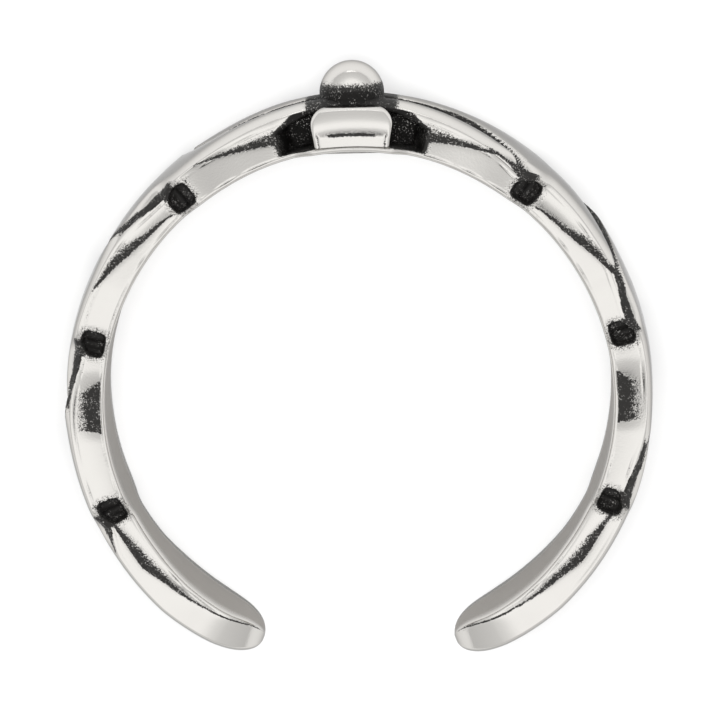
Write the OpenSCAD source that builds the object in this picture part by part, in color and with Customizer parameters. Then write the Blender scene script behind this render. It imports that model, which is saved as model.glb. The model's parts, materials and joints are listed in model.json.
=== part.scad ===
// An open toe ring, cast in one piece: a band of two twisted strands with notched
// edges, a bead on a knot between two petals at the top, and plain rounded ends.
//
// The ring lies on its side. Its hole runs along Z with the origin at its centre,
// the bead points along +Y and the gap between the ends faces -Y. Angles round the
// ring are in degrees from the bead, and "share" values are shares of a named size.

/* [Hole] */
// Diameter of the round hole that the toe goes through
hole_d = 15; // [13:0.5:19]
// Opening between the two rounded ends, straight across
end_gap = 5.8; // [3:0.2:8]
// Angle by which the gap lies off the line opposite the bead
gap_turn = 1.5; // [-3:0.5:3]

/* [Band] */
// Width of the band along the toe, where it is widest
band_w = 3.6; // [3.2:0.1:4.6]
// Thickness of the band's wall at its sides
wall_t = 1.24; // [1.1:0.02:1.7]
// How much thicker the wall is under the bead
top_extra = 0.22; // [0:0.02:0.4]
// Rounding where the band's edges meet its outer side
shoulder_r = 0.3; // [0.1:0.01:0.4]
// Rounding where the band's edges meet the hole
rim_r = 0.12; // [0.05:0.01:0.2]
// How far each lobe of the edge lies back at its start
lobe_sag = 0.3; // [0.05:0.01:0.4]
// Length of the rounding of the wall at each end of the band
end_round = 1.1; // [0.6:0.1:1.6]
// Length over which the band narrows to each end
tip_round = 2; // [1.2:0.1:3]

/* [Twist] */
// Angle from the bead to the first notch
notch_first = 39; // [36:0.5:44]
// Angle from one notch to the next
notch_pitch = 37; // [34:0.5:38]
// Width of a notch where it is cut into the edge
notch_w = 0.84; // [0.4:0.02:0.9]
// Depth of a notch below the edge
notch_depth = 0.6; // [0.3:0.02:0.8]
// Thickness of the rim left uncut between a notch or hollow and the hole
notch_rim = 0.14; // [0.05:0.01:0.3]
// Thickness of the border left uncut between a notch and the outer side
notch_border = 0.14; // [0.1:0.01:0.3]
// Width of the groove between the strands
groove_w = 0.42; // [0.25:0.01:0.6]
// Depth of the groove between the strands
groove_depth = 0.4; // [0.2:0.01:0.6]
// How much lower an edge's outer border lies where the groove runs along it to a notch
dip_depth = 0.3; // [0:0.01:0.4]
// Angle over which that border comes up again
dip_run = 16; // [8:1:20]
// Angle over which it comes up, and the groove ends, on an arm beyond its last notch
arm_run = 7; // [4:1:12]
// How much lower a strand lies where it ends under the other one, beside a notch
strand_step = 0.1; // [0:0.01:0.2]
// How much wider the groove is at the eye, halfway between two notches
eye_extra = 0.28; // [0:0.01:0.5]
// How far the outer side of each strand is domed
strand_dome = 0.1; // [0:0.01:0.3]

/* [Petals] */
// Width of a petal round the ring
petal_w = 2.36; // [1.8:0.02:2.8]
// Height of a petal above the hole
petal_h = 1.3; // [0.9:0.02:1.4]
// Rounding of a petal's two outer corners
petal_r = 0.42; // [0.1:0.02:0.6]
// Height above the hole of the flat foot of a petal's face, which curves back above it
petal_foot = 0.3; // [0.1:0.02:0.5]
// Rounding of a petal's front edges
petal_edge = 0.12; // [0.05:0.01:0.2]
// Width of the hollow between a petal and the first lobe
hollow_w = 1.05; // [0.6:0.05:1.4]
// Half the thickness of the web left at the bottom of a hollow
hollow_web = 0.5; // [0.3:0.05:0.9]
// Height above the hole at which the strand overhangs a hollow beside the first lobe
hollow_h = 0.74; // [0.5:0.02:0.9]
// How much higher it overhangs the hollow beside the petal
hollow_rise = 0.3; // [0:0.02:0.4]

/* [Bead] */
// Diameter of the bead
bead_d = 1.9; // [1.2:0.02:2.2]
// Height of the bead's top above the hole
bead_top = 2.46; // [2.2:0.02:3]
// Diameter of the collar that the bead stands on
collar_d = 2; // [1.4:0.02:2.4]

/* [Hidden] */

hole_r = hole_d / 2;
notches = 3;
// Radius at which angles are turned into lengths round the ring
mid_r = hole_r + wall_t / 2;
degrees_per_mm = 180 / (PI * mid_r);
end_angle = 180 - asin(end_gap / 2 / mid_r);
round_angle = end_round * degrees_per_mm;
tip_angle = tip_round * degrees_per_mm;
notch_half = notch_w / 2 * degrees_per_mm;
petal_half = petal_w / 2 * degrees_per_mm;
hollow_end = petal_half + hollow_w * degrees_per_mm;
// Angle of the step between a steep wall's last two sections, and the smaller one
// between the last two on a petal's rounded front edge
wall_step = 0.3;
petal_step = 0.05;
// Slant of a notch's two walls, on the way from its border to its bottom
notch_wall = 0.08;
// The band is cut to the true hole from this far inside it
cut_depth = 0.06;
// How far in from an edge its shoulder's rounding runs, as a share of its radius, and
// the share of the curve that is left out where it meets the edge's face
shoulder_run = 1.6;
shoulder_start = 0.25;
// Width under which a strand gets less than its full dome, and the least width that it
// is taken to have
dome_width = 0.4;
least_width = 0.01;
// Place of the groove beside the bead, as a share of the band's half width, and the
// power of the curve by which it turns off to the first notch
groove_start = 0.12;
groove_turn = 5;
// Power that makes the groove's hollow round at the bottom and soft at its borders
groove_power = 1.6;
// Powers of the curves that round the wall and narrow the band at its ends, where 2 is
// an ellipse, and the size of the flat at each tip, as a share of the band there
end_power = 2.4;
tip_power = 2;
end_flat = 0.25;

// One row for each place along half the ring: the angle from the bead as a share of
// the end angle, and the width, wall and shoulder there as shares of band_w, wall_t and
// shoulder_r
ANGLE = 0;
WIDTH = 1;
WALL = 2;
SHOULDER = 3;
SECTIONS = [
    [0.00, 1.00, 1.00, 1.13],
    [0.26, 1.00, 1.02, 1.07],
    [0.40, 0.97, 0.98, 0.93],
    [0.60, 0.94, 0.98, 0.80],
    [0.74, 0.93, 1.00, 0.80],
    [0.86, 0.92, 1.02, 1.00],
    [0.94, 0.86, 0.98, 1.27],
    [1.00, 0.76, 0.90, 1.40],
];

// One row for each lobe, from the bead on: the shares of its length between which its
// edge rises, the side of the crease on which its face rolls back, 1 outside and -1
// inside it, the slopes of the flat panel and of the roll beside the crease, and how
// quickly the roll turns back from there
RISE_FROM = 0;
RISE_TO = 1;
ROLL_SIDE = 2;
PANEL_SLOPE = 3;
ROLL_SLOPE = 4;
ROLL_TURN = 5;
LOBES = [
    [0.00, 1.0, 1, 0.00, 0.17, 1.05],
    [0.00, 0.8, 1, -0.04, 0.10, 0.93],
    [0.08, 0.6, 1, -0.05, -0.02, 0.27],
    [0.00, 0.6, -1, -0.10, 0.16, 0.93],
];
// The crease across each lobe's face, as pairs of a place along the lobe, as a share of
// its length, and the crease's height above the hole there, as a share of wall_t
CREASES = [
    [[0, 0.43], [0.3, 0.56], [0.57, 0.7], [0.75, 0.81], [1, 1]],
    [[0, 0.22], [0.07, 0.27], [0.27, 0.32], [0.42, 0.43], [0.55, 0.58], [0.76, 0.82], [1, 1]],
    [[0, 0.12], [1, 0.12]],
    [[0, 0.56], [0.26, 0.52], [0.38, 0.36], [0.52, 0.26], [0.65, 0.18], [1, 0.04]],
];

function smooth(x) = let(t = min(1, max(0, x))) t * t * (3 - 2 * t);
// Quarter of a circle: 0 at x = 0, rising steeply to 1 at x = 1 and beyond
function quarter(x) = let(t = min(1, max(0, x))) sqrt(t * (2 - t));
function share(a, column) =
    lookup(a / end_angle, [for (row = SECTIONS) [row[ANGLE], row[column]]]);

// Notches and lobes
function notch_angle(i) = notch_first + i * notch_pitch;
function nearest_notch(a) =
    notch_angle(min(notches - 1, max(0, round((a - notch_first) / notch_pitch))));
// Place across a notch: -1 and 1 at its sides
function notch_place(a) = (a - nearest_notch(a)) / notch_half;
function in_notch(a) = abs(notch_place(a)) < 1;
function notch_cut(a) = in_notch(a) ? notch_depth * sqrt(1 - pow(notch_place(a), 2)) : 0;
function in_petal(a) = a <= petal_half;
function in_hollow(a) = a > petal_half && a < hollow_end;
function over_hollow(a) = (a - petal_half) / (hollow_end - petal_half);
function lobe_index(a) = min(notches, max(0, ceil((a - notch_first) / notch_pitch)));
function lobe_start(i) = i == 0 ? hollow_end : notch_angle(i - 1) + notch_half;
function lobe_end(i) = i == notches ? end_angle : notch_angle(i) - notch_half;
function along_lobe(a) =
    let(i = lobe_index(a))
    min(1, max(0, (a - lobe_start(i)) / (lobe_end(i) - lobe_start(i))));
// 1 where an edge lies back at a lobe's start, 0 where it has risen; it goes back inside
// a notch
function low_share(a) =
    let(lobe = LOBES[lobe_index(a)])
    in_notch(a) ? (notch_place(a) + 1) / 2
    : 1 - smooth((along_lobe(a) - lobe[RISE_FROM]) / (lobe[RISE_TO] - lobe[RISE_FROM]));

function full_z(a) = share(a, WIDTH) * band_w / 2;
// Half the band's width at its edges, where their faces stand out furthest
function edge_z(a) =
    in_petal(a) ? collar_d / 2
    : in_hollow(a)
        ? collar_d / 2 + (full_z(a) - lobe_sag - collar_d / 2) * smooth(over_hollow(a))
    : full_z(a) - lobe_sag * low_share(a);

// How far a lobe's face lies back at height d above the hole: a flat panel on one side
// of its crease and a roll on the other
function crease_d(a) = wall_t * lookup(along_lobe(a), CREASES[lobe_index(a)]);
function relief(a, d) =
    let(
        lobe = LOBES[lobe_index(a)],
        e = lobe[ROLL_SIDE] * (d - crease_d(a)),
        roll = max(0, e),
        fall = lobe[PANEL_SLOPE] * e + (lobe[ROLL_SLOPE] - lobe[PANEL_SLOPE]) * roll
            + lobe[ROLL_TURN] * roll * roll / (2 * wall_t)
    )
    max(0, fall) * min(1, abs(notch_place(a))) * (in_hollow(a) ? smooth(over_hollow(a)) : 1);

// Radius of the outer side's highest line
function crown_r(a) =
    hole_r + wall_t * share(a, WALL) + top_extra * (1 - smooth(a / notch_first));
// Height of a petal's top, with its two outer corners rounded
function petal_top(a) =
    let(corner = petal_r * degrees_per_mm, x = (petal_half - a) / corner)
    hole_r + petal_h - petal_r * (1 - quarter(x));

// The groove between the strands. Beside the bead it runs along the middle of the band
// and turns off to an edge's first notch. From there it leaves one edge's notch along
// the edge, crosses the band and runs along the other edge to the next notch there, the
// same way round on both sides of the ring
function before_notches(a) = a < notch_first - notch_half;
function groove_phase(a) =
    let(
        x = (a - notch_first) / notch_pitch,
        beside = notch_half / notch_pitch
    )
    before_notches(a)
        ? max(0, (a - petal_half) / (notch_first - notch_half - petal_half))
        : a > notch_angle(notches - 1) ? 0
        : min(1, max(0, (x - floor(x) - beside) / (1 - 2 * beside)));
// Place of the groove across the band, as a share of the half width
function groove_place(a, sign) =
    before_notches(a)
        ? groove_start + (sign - groove_start) * pow(groove_phase(a), groove_turn)
        : -sign * cos(180 * smooth(groove_phase(a)));
function groove_fade(a) =
    in_notch(a) ? pow(notch_place(a), 4)
    : 1 - smooth((a - notch_angle(notches - 1)) / arm_run);
// Half the groove's width across the band, wider where it runs steeply and at the eye
function groove_half(a, sign) =
    let(
        middle = sin(180 * groove_phase(a)),
        ahead = groove_place(a + wall_step, sign) - groove_place(a - wall_step, sign),
        slope = in_notch(a) ? 0 : ahead * edge_z(a) / (2 * wall_step) * degrees_per_mm
    )
    (groove_w + eye_extra * pow(middle, 6)) / 2 * sqrt(1 + slope * slope);
// 1 on the groove's line and 0 beside it
function groove_profile(a, z, sign, border) =
    let(x = min(1, abs(z - groove_place(a, sign) * border) / groove_half(a, sign)))
    groove_fade(a) * pow(cos(90 * x), groove_power);
// How much lower an edge's outer border lies beside a notch that the groove runs to. The
// edge is the one at +Z where face is 1, and the one at -Z where it is -1
function border_dip(a, face, sign) =
    let(
        away = abs(a - nearest_notch(a)) - notch_half,
        run = a > notch_angle(notches - 1) ? arm_run : dip_run,
        beside = max(0, groove_place(a, sign) * face) * min(1, abs(notch_place(a)))
    )
    dip_depth * (1 - smooth(away / run)) * beside;
// How far the strand that ends at the next notch passes under the other one
function under(a, z, sign, border) =
    let(beyond = sign * (z - groove_place(a, sign) * border) / groove_half(a, sign))
    strand_step * smooth(groove_phase(a)) * smooth((1 + beyond) / 2);
// How far the strand's dome has fallen at z, between the border and the groove
function dome(a, z, sign, border) =
    let(
        g = groove_place(a, sign) * border,
        high = z > g ? border : g,
        low = z > g ? g : -border,
        width = max(least_width, high - low),
        x = min(1, abs(2 * z - high - low) / width)
    )
    strand_dome * (1 - (1 - x * x) * min(1, width / dome_width));

// Radius of the outer side at angle a from the bead and z across the band, on the side
// of it whose border is given
function outer_r(a, z, sign, border) =
    let(
        shoulder = shoulder_r * share(a, SHOULDER),
        inside = border - abs(z),
        x = shoulder_start + (1 - shoulder_start) * inside / (shoulder * shoulder_run),
        fall = shoulder * (1 - quarter(x)),
        away = smooth(inside / groove_w),
        dip = border_dip(a, z > 0 ? 1 : -1, sign) * (1 - away),
        cut = groove_depth * away * groove_profile(a, z, sign, border)
    )
    in_petal(a) ? petal_top(a) - fall
    : crown_r(a) - fall - dome(a, z, sign, border) - under(a, z, sign, border) - max(dip, cut);
// Height of an edge's outer border above the hole, and its place across the band
function border_d(a, face, sign) = outer_r(a, face * edge_z(a), sign, edge_z(a)) - hole_r;
function border_z(a, face, sign) =
    edge_z(a) - (in_petal(a) ? 0 : relief(a, border_d(a, face, sign)));

// One section's outline, as pairs of distance above the hole and place across the
// band, from the hole's +Z rim over the outer side to its -Z rim
side_steps = 8;
outer_steps = 16;
crowd_limit = 0.94;
flank_steps = 4;
edge_crowding = 1.6;
// Steps of a side face below and above what is cut into it
first_cut = 3;
last_cut = 5;
function is_cut(step) = step >= first_cut && step <= last_cut;
// Heights of the steps on a petal's face, as shares of its height
PETAL_STEPS = [0, 0.04, 0.2, 0.36, 0.5, 0.66, 0.8, 0.92];
// The step at the crease keeps this share of the face from the steps beside it
crease_margin = 0.2;

// Heights above the hole of the steps up a side face that is cut from the rim to far
function cut_heights(a, far, top) =
    let(
        margin = crease_margin * (far - notch_rim),
        middle = in_notch(a) || in_hollow(a) ? (notch_rim + far) / 2 : crease_d(a)
    )
    [-cut_depth, rim_r / 4, notch_rim, notch_rim + notch_wall,
        max(notch_rim + margin, min(far - margin, middle)),
        far - notch_wall, far, (far + top) / 2];
function rim_fall(d) = rim_r * (1 - quarter((d + cut_depth) / (rim_r + cut_depth)));
// A petal's face stands flat on its foot and curves back to the collar above it
function petal_point(a, step, top) =
    let(
        d = step == 0 ? -cut_depth : top * PETAL_STEPS[step],
        up = max(0, (d - petal_foot) / (top - petal_foot)),
        side = 1 - quarter((petal_half - a) / (petal_edge * degrees_per_mm))
    )
    [d, full_z(a) - (full_z(a) - edge_z(a)) * up * up - petal_edge * side - rim_fall(d)];
// A hollow is cut down to its web between the rim at the hole and the strand above,
// whose underside slants down from the petal to the first lobe
function hollow_point(a, step, top) =
    let(
        far = hollow_h + hollow_rise * (1 - over_hollow(a)),
        d = cut_heights(a, far, top)[step],
        ahead = (full_z(a) - edge_z(a)) * (1 - smooth(over_hollow(a)))
    )
    [d, step < first_cut ? edge_z(a) + ahead - rim_fall(d)
        : is_cut(step) ? hollow_web
        : edge_z(a) - relief(a, d)];
function lobe_point(a, step, top) =
    let(
        far = max(top, notch_rim + notch_border + 3 * notch_wall) - notch_border,
        d = cut_heights(a, far, top)[step],
        cut = is_cut(step) ? notch_cut(a) : 0
    )
    [d, edge_z(a) - cut - relief(a, d) - rim_fall(d)];
// A point of the edge at +Z where face is 1, or of the one at -Z where it is -1
function side_point(a, step, face, sign) =
    let(
        top = border_d(a, face, sign),
        p = in_petal(a) ? petal_point(a, step, top)
            : in_hollow(a) ? hollow_point(a, step, top)
            : lobe_point(a, step, top)
    )
    [p[0], face * p[1]];
// Where the groove crosses a section, as a share of its half width. The points across
// the band follow it, and move over to the next groove inside a notch
function crowd(a, sign) =
    in_petal(a) ? 0
    : in_notch(a) ? -sign * crowd_limit * notch_place(a)
    : max(-crowd_limit, min(crowd_limit, groove_place(a, sign)));
// Distance from the groove of point k on the way to an edge: the first few points lie
// on the groove's flank, and the others crowd towards the edge
function from_groove(a, k, way, sign) =
    let(
        flank = min(groove_half(a, sign), way / 2),
        rest = (k - flank_steps) / (outer_steps / 2 - flank_steps)
    )
    k <= flank_steps ? flank * k / flank_steps
    : flank + (way - flank) * (1 - pow(1 - rest, edge_crowding));
function across(a, i, sign) =
    let(
        near = border_z(a, 1, sign),
        far = border_z(a, -1, sign),
        c = crowd(a, sign) * (crowd(a, sign) > 0 ? near : far),
        k = i - outer_steps / 2
    )
    k < 0 ? c + from_groove(a, -k, near - c, sign)
    : c - from_groove(a, k, far + c, sign);
function outline(a, sign) =
    concat(
        [for (step = [0 : side_steps - 1]) side_point(a, step, 1, sign)],
        [for (i = [0 : outer_steps])
            let(z = across(a, i, sign), border = border_z(a, z > 0 ? 1 : -1, sign))
            [outer_r(a, z, sign, border) - hole_r, z]],
        [for (step = [side_steps - 1 : -1 : 0]) side_point(a, step, -1, sign)]
    );

// The ends are rounded off by drawing each section in towards its own middle
function end_scale(a, run, power) =
    let(x = max(0, (a - end_angle + run) / run))
    max(end_flat, pow(max(0, 1 - pow(x, power)), 1 / power));
function rounded(points, a) =
    let(
        middle = wall_t * share(a, WALL) / 2,
        thin = end_scale(a, round_angle, end_power),
        narrow = end_scale(a, tip_angle, tip_power)
    )
    [for (p = points) [middle + (p[0] - middle) * thin, p[1] * narrow]];

// Angles of the sections from the bead to one end, closer together at steep places
function spread(from, to, count) = [for (i = [0 : count - 1]) from + (to - from) * i / count];
function notch_rows(i) =
    [for (x = [-1, -0.9, -0.65, -0.35, 0, 0.35, 0.65, 0.9, 1]) notch_angle(i) + x * notch_half];
function after_notch(i) = notch_angle(i) + notch_half + 3 * wall_step;
hollow_rows = 4;
lobe_rows = 13;
half_rows = concat(
    [0],
    [for (x = [0.35, 0.65, 0.85, 0.95]) petal_half * x],
    [petal_half - petal_step, petal_half + wall_step],
    spread(petal_half + 4 * wall_step, hollow_end - wall_step, hollow_rows),
    [hollow_end - wall_step],
    spread(hollow_end, notch_angle(0) - notch_half - 2 * wall_step, lobe_rows - 3),
    [notch_angle(0) - notch_half - 2 * wall_step],
    [for (i = [0 : notches - 1]) each concat(
        notch_rows(i),
        i < notches - 1
            ? spread(after_notch(i), notch_angle(i + 1) - notch_half, lobe_rows)
            : spread(after_notch(i), end_angle - round_angle, lobe_rows - 1)
    )],
    [for (x = [0, 0.3, 0.5, 0.68, 0.82, 0.92, 0.98, 1]) end_angle - round_angle * (1 - x)]
);
all_rows = concat(
    [for (i = [len(half_rows) - 1 : -1 : 1]) -half_rows[i]],
    half_rows
);

// Beyond its last notch each arm is bent, so that the gap lies off its place
function turned(angle) =
    let(last = notch_angle(notches - 1))
    angle + gap_turn * smooth((abs(angle) - last) / (end_angle - last));
function place(angle, point) =
    let(r = hole_r + point[0], t = turned(angle)) [r * sin(t), r * cos(t), point[1]];
function row_points(angle) =
    let(a = abs(angle), sign = angle < 0 ? -1 : 1)
    [for (p = rounded(outline(a, sign), a)) place(angle, p)];

module band() {
    count = 2 * side_steps + outer_steps + 1;
    rows = len(all_rows);
    points = [for (angle = all_rows) each row_points(angle)];
    sides = [for (row = [0 : rows - 2], i = [0 : count - 1])
        let(
            j = (i + 1) % count,
            here = row * count,
            next = here + count,
            middle = abs(all_rows[row] + all_rows[row + 1]) / 2
        )
        each in_notch(middle)
            ? [[here + i, here + j, next + i], [here + j, next + j, next + i]]
            : [[here + i, next + j, next + i], [here + i, here + j, next + j]]];
    first_end = [for (i = [count - 1 : -1 : 0]) i];
    last_end = [for (i = [0 : count - 1]) (rows - 1) * count + i];
    polyhedron(points = points, faces = concat(sides, [first_end, last_end]), convexity = 8);
}

module bead() {
    ball_y = hole_r + bead_top - bead_d / 2;
    foot_y = hole_r + wall_t / 2;
    collar_y = hole_r + petal_h;
    translate([0, ball_y, 0]) sphere(d = bead_d, $fn = 48);
    translate([0, foot_y, 0]) rotate([-90, 0, 0])
        cylinder(d = bead_d, h = ball_y - foot_y, $fn = 48);
    translate([0, foot_y, 0]) rotate([-90, 0, 0])
        cylinder(d = collar_d, h = collar_y - foot_y, $fn = 48);
}

module ring() {
    color("silver") difference() {
        union() {
            band();
            bead();
        }
        translate([0, 0, -band_w]) cylinder(r = hole_r, h = 2 * band_w, $fn = 180);
    }
}

ring();
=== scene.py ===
import json
import math
import bpy
import numpy as np
from mathutils import Matrix, Vector

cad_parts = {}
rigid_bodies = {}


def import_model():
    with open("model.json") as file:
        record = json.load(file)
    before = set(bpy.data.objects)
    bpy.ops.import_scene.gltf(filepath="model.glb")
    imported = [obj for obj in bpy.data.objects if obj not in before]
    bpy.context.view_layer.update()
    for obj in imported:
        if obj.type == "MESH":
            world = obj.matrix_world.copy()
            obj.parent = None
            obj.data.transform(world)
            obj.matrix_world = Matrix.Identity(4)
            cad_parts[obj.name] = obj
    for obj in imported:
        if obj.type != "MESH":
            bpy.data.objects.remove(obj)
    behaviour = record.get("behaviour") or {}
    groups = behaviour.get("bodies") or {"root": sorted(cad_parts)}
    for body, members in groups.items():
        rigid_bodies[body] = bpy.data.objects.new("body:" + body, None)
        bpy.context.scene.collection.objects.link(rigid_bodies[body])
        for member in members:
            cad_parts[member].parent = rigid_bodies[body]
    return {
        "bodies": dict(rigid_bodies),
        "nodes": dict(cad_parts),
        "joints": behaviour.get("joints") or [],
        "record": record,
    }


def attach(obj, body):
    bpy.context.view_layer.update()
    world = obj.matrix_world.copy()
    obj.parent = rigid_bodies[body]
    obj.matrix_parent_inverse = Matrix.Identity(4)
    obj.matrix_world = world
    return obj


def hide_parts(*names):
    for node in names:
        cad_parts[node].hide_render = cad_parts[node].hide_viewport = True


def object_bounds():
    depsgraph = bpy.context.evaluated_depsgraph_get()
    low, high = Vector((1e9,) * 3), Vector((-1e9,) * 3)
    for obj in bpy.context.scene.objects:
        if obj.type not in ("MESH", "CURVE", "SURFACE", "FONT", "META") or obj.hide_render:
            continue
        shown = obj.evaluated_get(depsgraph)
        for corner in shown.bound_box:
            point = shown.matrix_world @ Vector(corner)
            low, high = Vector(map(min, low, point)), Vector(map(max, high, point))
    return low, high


# The cast silver toe ring lies on its side. The near face is the one towards +Z.
# Sizes are in millimetres and turn into metres where a mesh is made. Angles are in
# degrees from the bead, and "sign" is 1 on the +X side of the ring and -1 on the other.
MM = 0.001

HOLE_R = 7.5
END_GAP = 5.8
GAP_TURN = 1.5
BAND_W = 3.6
WALL = 1.24
TOP_EXTRA = 0.22
SHOULDER_RUN = 1.6
SHOULDER_START = 0.25
RIM_R = 0.12
LOBE_SAG = 0.3
END_ROUND = 1.1
END_POWER = 2.4
TIP_ROUND = 2.0
TIP_POWER = 2
END_FLAT = 0.03
NOTCH_FIRST = 39.0
NOTCH_PITCH = 37.0
NOTCHES = 3
NOTCH_W = 0.84
NOTCH_DEPTH = 0.6
NOTCH_RIM = 0.14
NOTCH_BORDER = 0.14
POCKET_POWER = 4
GROOVE_W = 0.42
GROOVE_DEPTH = 0.4
GROOVE_POWER = 1.6
DIP_DEPTH = 0.2
DIP_RUN = 16.0
ARM_RUN = 7.0
GROOVE_START = 0.12
GROOVE_TURN = 5
EYE_EXTRA = 0.28
EYE_POWER = 6
STRAND_DOME = 0.1
DOME_WIDTH = 0.4
LEAST_WIDTH = 0.01
STRAND_STEP = 0.1
PETAL_W = 2.36
PETAL_H = 1.3
PETAL_R = 0.52
PETAL_EDGE = 0.12
HOLLOW_W = 1.05
HOLLOW_WEB = 0.5
HOLLOW_H = 0.74
HOLLOW_RISE = 0.3
HOLLOW_WALL = 3.0
BEAD_D = 1.9
BEAD_TOP = 2.46
COLLAR_D = 2.0

# Fine creases beside the rim and the outer border of a face: their depth and half width
LINE_DEPTH = 0.016
LINE_HALF = 0.024
# Distance over which a face turns from its flat panel into its roll at the crease between
# them, and the most such distances that the turn is worked out for
CREASE_HALF = 0.05
TURN_LIMIT = 30
# Distance over which the rim at the hole and the border at the outer side end
BORDER_SOFT = 0.06

MID_R = HOLE_R + WALL / 2
DEG_PER_MM = 180 / (math.pi * MID_R)
END_ANGLE = 180 - math.degrees(math.asin(END_GAP / 2 / MID_R))
ROUND_ANGLE = END_ROUND * DEG_PER_MM
TIP_ANGLE = TIP_ROUND * DEG_PER_MM
NOTCH_HALF = NOTCH_W / 2 * DEG_PER_MM
LAST_NOTCH = NOTCH_FIRST + (NOTCHES - 1) * NOTCH_PITCH
PETAL_HALF = PETAL_W / 2 * DEG_PER_MM
HOLLOW_END = PETAL_HALF + HOLLOW_W * DEG_PER_MM

# Angle from the bead as a share of the end angle, and shares of the width and wall there
SECTION_ANGLE = [0.00, 0.26, 0.40, 0.60, 0.74, 0.86, 0.94, 1.00]
SECTION_WIDTH = [1.00, 1.00, 0.97, 0.94, 0.93, 0.92, 0.86, 0.76]
SECTION_WALL = [1.00, 1.02, 0.98, 0.98, 1.00, 1.02, 0.98, 0.90]
# Rounding of the outer border there, in mm
SECTION_SHOULDER = [0.34, 0.32, 0.28, 0.24, 0.24, 0.30, 0.38, 0.42]

# Each lobe lies back at its start and rises to its full width over a share of its length
RISE_FROM = [0.0, 0.0, 0.08, 0.0]
RISE_TO = [1.0, 0.8, 0.6, 0.6]
# The crease of each lobe's face: places along the lobe, heights up the wall there, and
# how wide the painted dark reflection of the lens beside it is
CREASES = [
    ([0.00, 0.30, 0.57, 0.75, 1.00],
     [0.43, 0.56, 0.70, 0.81, 1.00],
     [0.50, 0.26, 0.13, 0.06, 0.03]),
    ([0.00, 0.07, 0.27, 0.42, 0.55, 0.66, 0.76, 1.00],
     [0.22, 0.27, 0.32, 0.43, 0.58, 0.69, 0.82, 1.00],
     [0.02, 0.08, 0.22, 0.42, 0.30, 0.14, 0.02, 0.00]),
    ([0.00, 0.16, 0.25, 0.50, 0.53, 1.00],
     [0.12, 0.12, 0.12, 0.12, 0.12, 0.12],
     [0.00, 0.00, 0.72, 0.78, 0.00, 0.00]),
    ([0.00, 0.12, 0.26, 0.38, 0.52, 0.65, 0.90, 1.00],
     [0.56, 0.53, 0.52, 0.36, 0.26, 0.18, 0.08, 0.04],
     [0.10, 0.32, 0.44, 0.26, 0.10, 0.06, 0.05, 0.02]),
]
# The roll lies outside the crease (1) or inside it (-1). Slopes of the flat panel and of
# the roll beside the crease, and how much the roll turns in each mm away from it
ROLL_SIDE = [1, 1, 1, -1]
PANEL_SLOPE = [0.0, -0.13, -0.05, -0.10]
ROLL_SLOPE = [0.17, 0.10, -0.02, 0.16]
ROLL_TURN = [0.85, 0.75, 0.22, 0.75]

# Blackening is a value from 0 to 1, and beyond 1 where a recess is at its blackest
DEEPEST = 1.3
# How far the groove's blackening reaches and over what it fades, in half widths of the
# groove, and how much less both are beside a notch
GROOVE_REACH = 0.8
GROOVE_FADE = 0.5
REACH_LESS = 0.35
FADE_LESS = 0.1
# Strength, reach and softness of a notch's own blackening and of the specks round it, and
# what the slit down its middle adds. Reaches are in half widths of the notch
NOTCH_STAIN = (0.85, 1.26, 0.4)
NOTCH_SPECKS = (0.42, 1.6, 0.4)
SLIT_STAIN = 0.4
# Where the groove meets a notch: where the blackening between them starts, how far it
# reaches and how softly it ends, in half widths of the notch, and how wide it is outside
JOIN_START = 0.7
JOIN_REACH = 1.3
JOIN_SOFT = 0.5
JOIN_WIDTH = 0.2
JOIN_EDGE = 0.14
# Strength and fading of the painted dark reflection of the lens beside a crease, and how sharply it
# starts
STREAK_REFLECTION = 0.85
STREAK_FULL = 1.5
STREAK_FADE = 1.3
STREAK_START = 0.04
STREAK_LEAST = 0.05
# Strength and width of the dots of blackening along the fine lines
DOTS_STAIN = 0.34
DOTS_WIDTH = 1.5
# A hollow's blackening ends this far above the overhanging strand's underside, more beside
# the petal, and fades out over the start of the first lobe
SHADE_ABOVE = 0.1
SHADE_RISE = 0.5
SHADE_SOFT = 0.16
SHADE_END = 1.2
SHADE_FADE = 1.6
SHADE_LEFT = 0.25


def smooth(x):
    t = np.clip(x, 0, 1)
    return t * t * (3 - 2 * t)


def quarter(x):
    """A quarter of a circle: 0 at x = 0, rising steeply to 1 at x = 1 and beyond."""
    t = np.clip(x, 0, 1)
    return np.sqrt(t * (2 - t))


def share(a, column):
    return np.interp(a / END_ANGLE, SECTION_ANGLE, column)


def turned(angle):
    """Beyond its last notch each arm is bent, so that the gap lies off its place."""
    return angle + GAP_TURN * smooth((np.abs(angle) - LAST_NOTCH) / (END_ANGLE - LAST_NOTCH))


def nearest_notch(a):
    i = np.clip(np.round((a - NOTCH_FIRST) / NOTCH_PITCH), 0, NOTCHES - 1)
    return NOTCH_FIRST + i * NOTCH_PITCH


def notch_place(a):
    return (a - nearest_notch(a)) / NOTCH_HALF


def lobe_index(a):
    return np.clip(np.ceil((a - NOTCH_FIRST) / NOTCH_PITCH), 0, NOTCHES).astype(int)


def lobe_start(i):
    return HOLLOW_END if i == 0 else NOTCH_FIRST + (i - 1) * NOTCH_PITCH + NOTCH_HALF


def lobe_end(i):
    return END_ANGLE if i == NOTCHES else NOTCH_FIRST + i * NOTCH_PITCH - NOTCH_HALF


LOBE_STARTS = np.array([lobe_start(i) for i in range(NOTCHES + 1)])
LOBE_ENDS = np.array([lobe_end(i) for i in range(NOTCHES + 1)])


def along_lobe(a):
    i = lobe_index(a)
    return np.clip((a - LOBE_STARTS[i]) / (LOBE_ENDS[i] - LOBE_STARTS[i]), 0, 1)


def by_lobe(a, values):
    return np.array(values)[lobe_index(a)]


def full_z(a):
    return share(a, SECTION_WIDTH) * BAND_W / 2


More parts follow.
